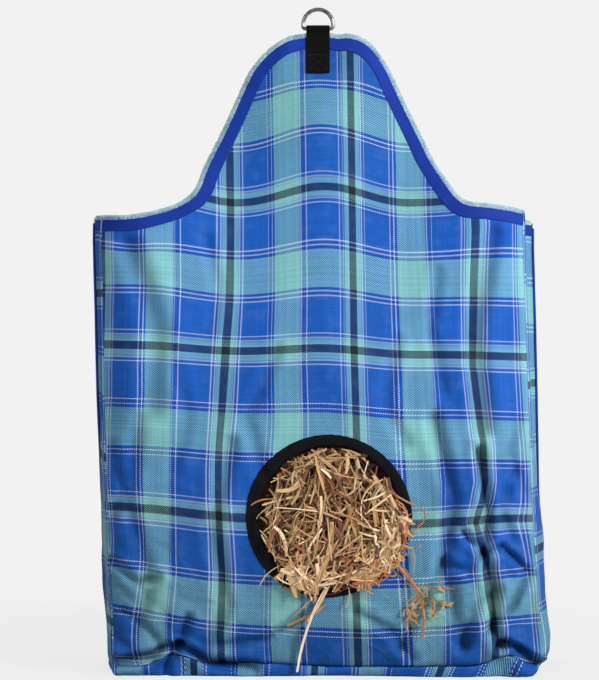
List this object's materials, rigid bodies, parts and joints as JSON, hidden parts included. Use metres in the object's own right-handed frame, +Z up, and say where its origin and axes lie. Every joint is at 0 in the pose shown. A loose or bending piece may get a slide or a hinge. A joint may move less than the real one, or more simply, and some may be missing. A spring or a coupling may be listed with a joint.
{
  "type": "hay bag",
  "caption": "Gusseted plaid mesh hay bag with a tall hanging neck, webbing tab and D-ring, and a bound round feed hole showing the hay inside.",
  "frame": {"origin": "middle of the underside of the base", "axes": "+Z up through the hanging ring, the feed hole faces -Y, +X to the right seen from the front"},
  "size_m": [0.6054, 0.1831, 0.8564],
  "materials": {
    "plaid_mesh": "coated woven mesh in a blue and aqua plaid",
    "edge_tape": "woven polypropylene edge tape",
    "overlock_thread": "overlocked thread edge",
    "black_webbing": "woven webbing, slightly shiny",
    "stitching_thread": "bonded sewing thread",
    "ring_wire": "polished nickel-plated steel wire",
    "hay": "dry hay stems and leaves"
  },
  "bodies": {
    "bag": {"front_panel": "plaid_mesh", "back_panel": "plaid_mesh", "left_gusset": "plaid_mesh", "right_gusset": "plaid_mesh", "base_panel": "plaid_mesh", "feed_hole_binding": "black_webbing", "feed_hole_stitching": "stitching_thread", "left_shoulder_tape": "edge_tape", "right_shoulder_tape": "edge_tape", "left_gusset_tape": "edge_tape", "right_gusset_tape": "edge_tape", "back_tape": "edge_tape", "left_shoulder_overlock": "overlock_thread", "right_shoulder_overlock": "overlock_thread", "left_gusset_overlock": "overlock_thread", "right_gusset_overlock": "overlock_thread", "back_overlock": "overlock_thread", "left_rear_seam_binding": "edge_tape", "right_rear_seam_binding": "edge_tape", "hay_wad": "hay", "loose_stems": "hay"},
    "neck": {"neck_panel": "plaid_mesh", "neck_tape": "edge_tape", "neck_overlock": "overlock_thread", "hanging_tab": "black_webbing", "tab_stitching": "stitching_thread"},
    "ring": {"d_ring": "ring_wire"}
  },
  "joints": [
    {"name": "flap_fold", "type": "hinge", "parent": "bag", "child": "neck", "pos_m": [0, -0.101, 0.60604], "axis": [1, 0, 0], "range_deg": [-90, 160]},
    {"name": "ring_swing", "type": "hinge", "parent": "neck", "child": "ring", "pos_m": [0, -0.0992, 0.82935], "axis": [1, 0, 0], "range_deg": [-140, 140]}
  ]
}
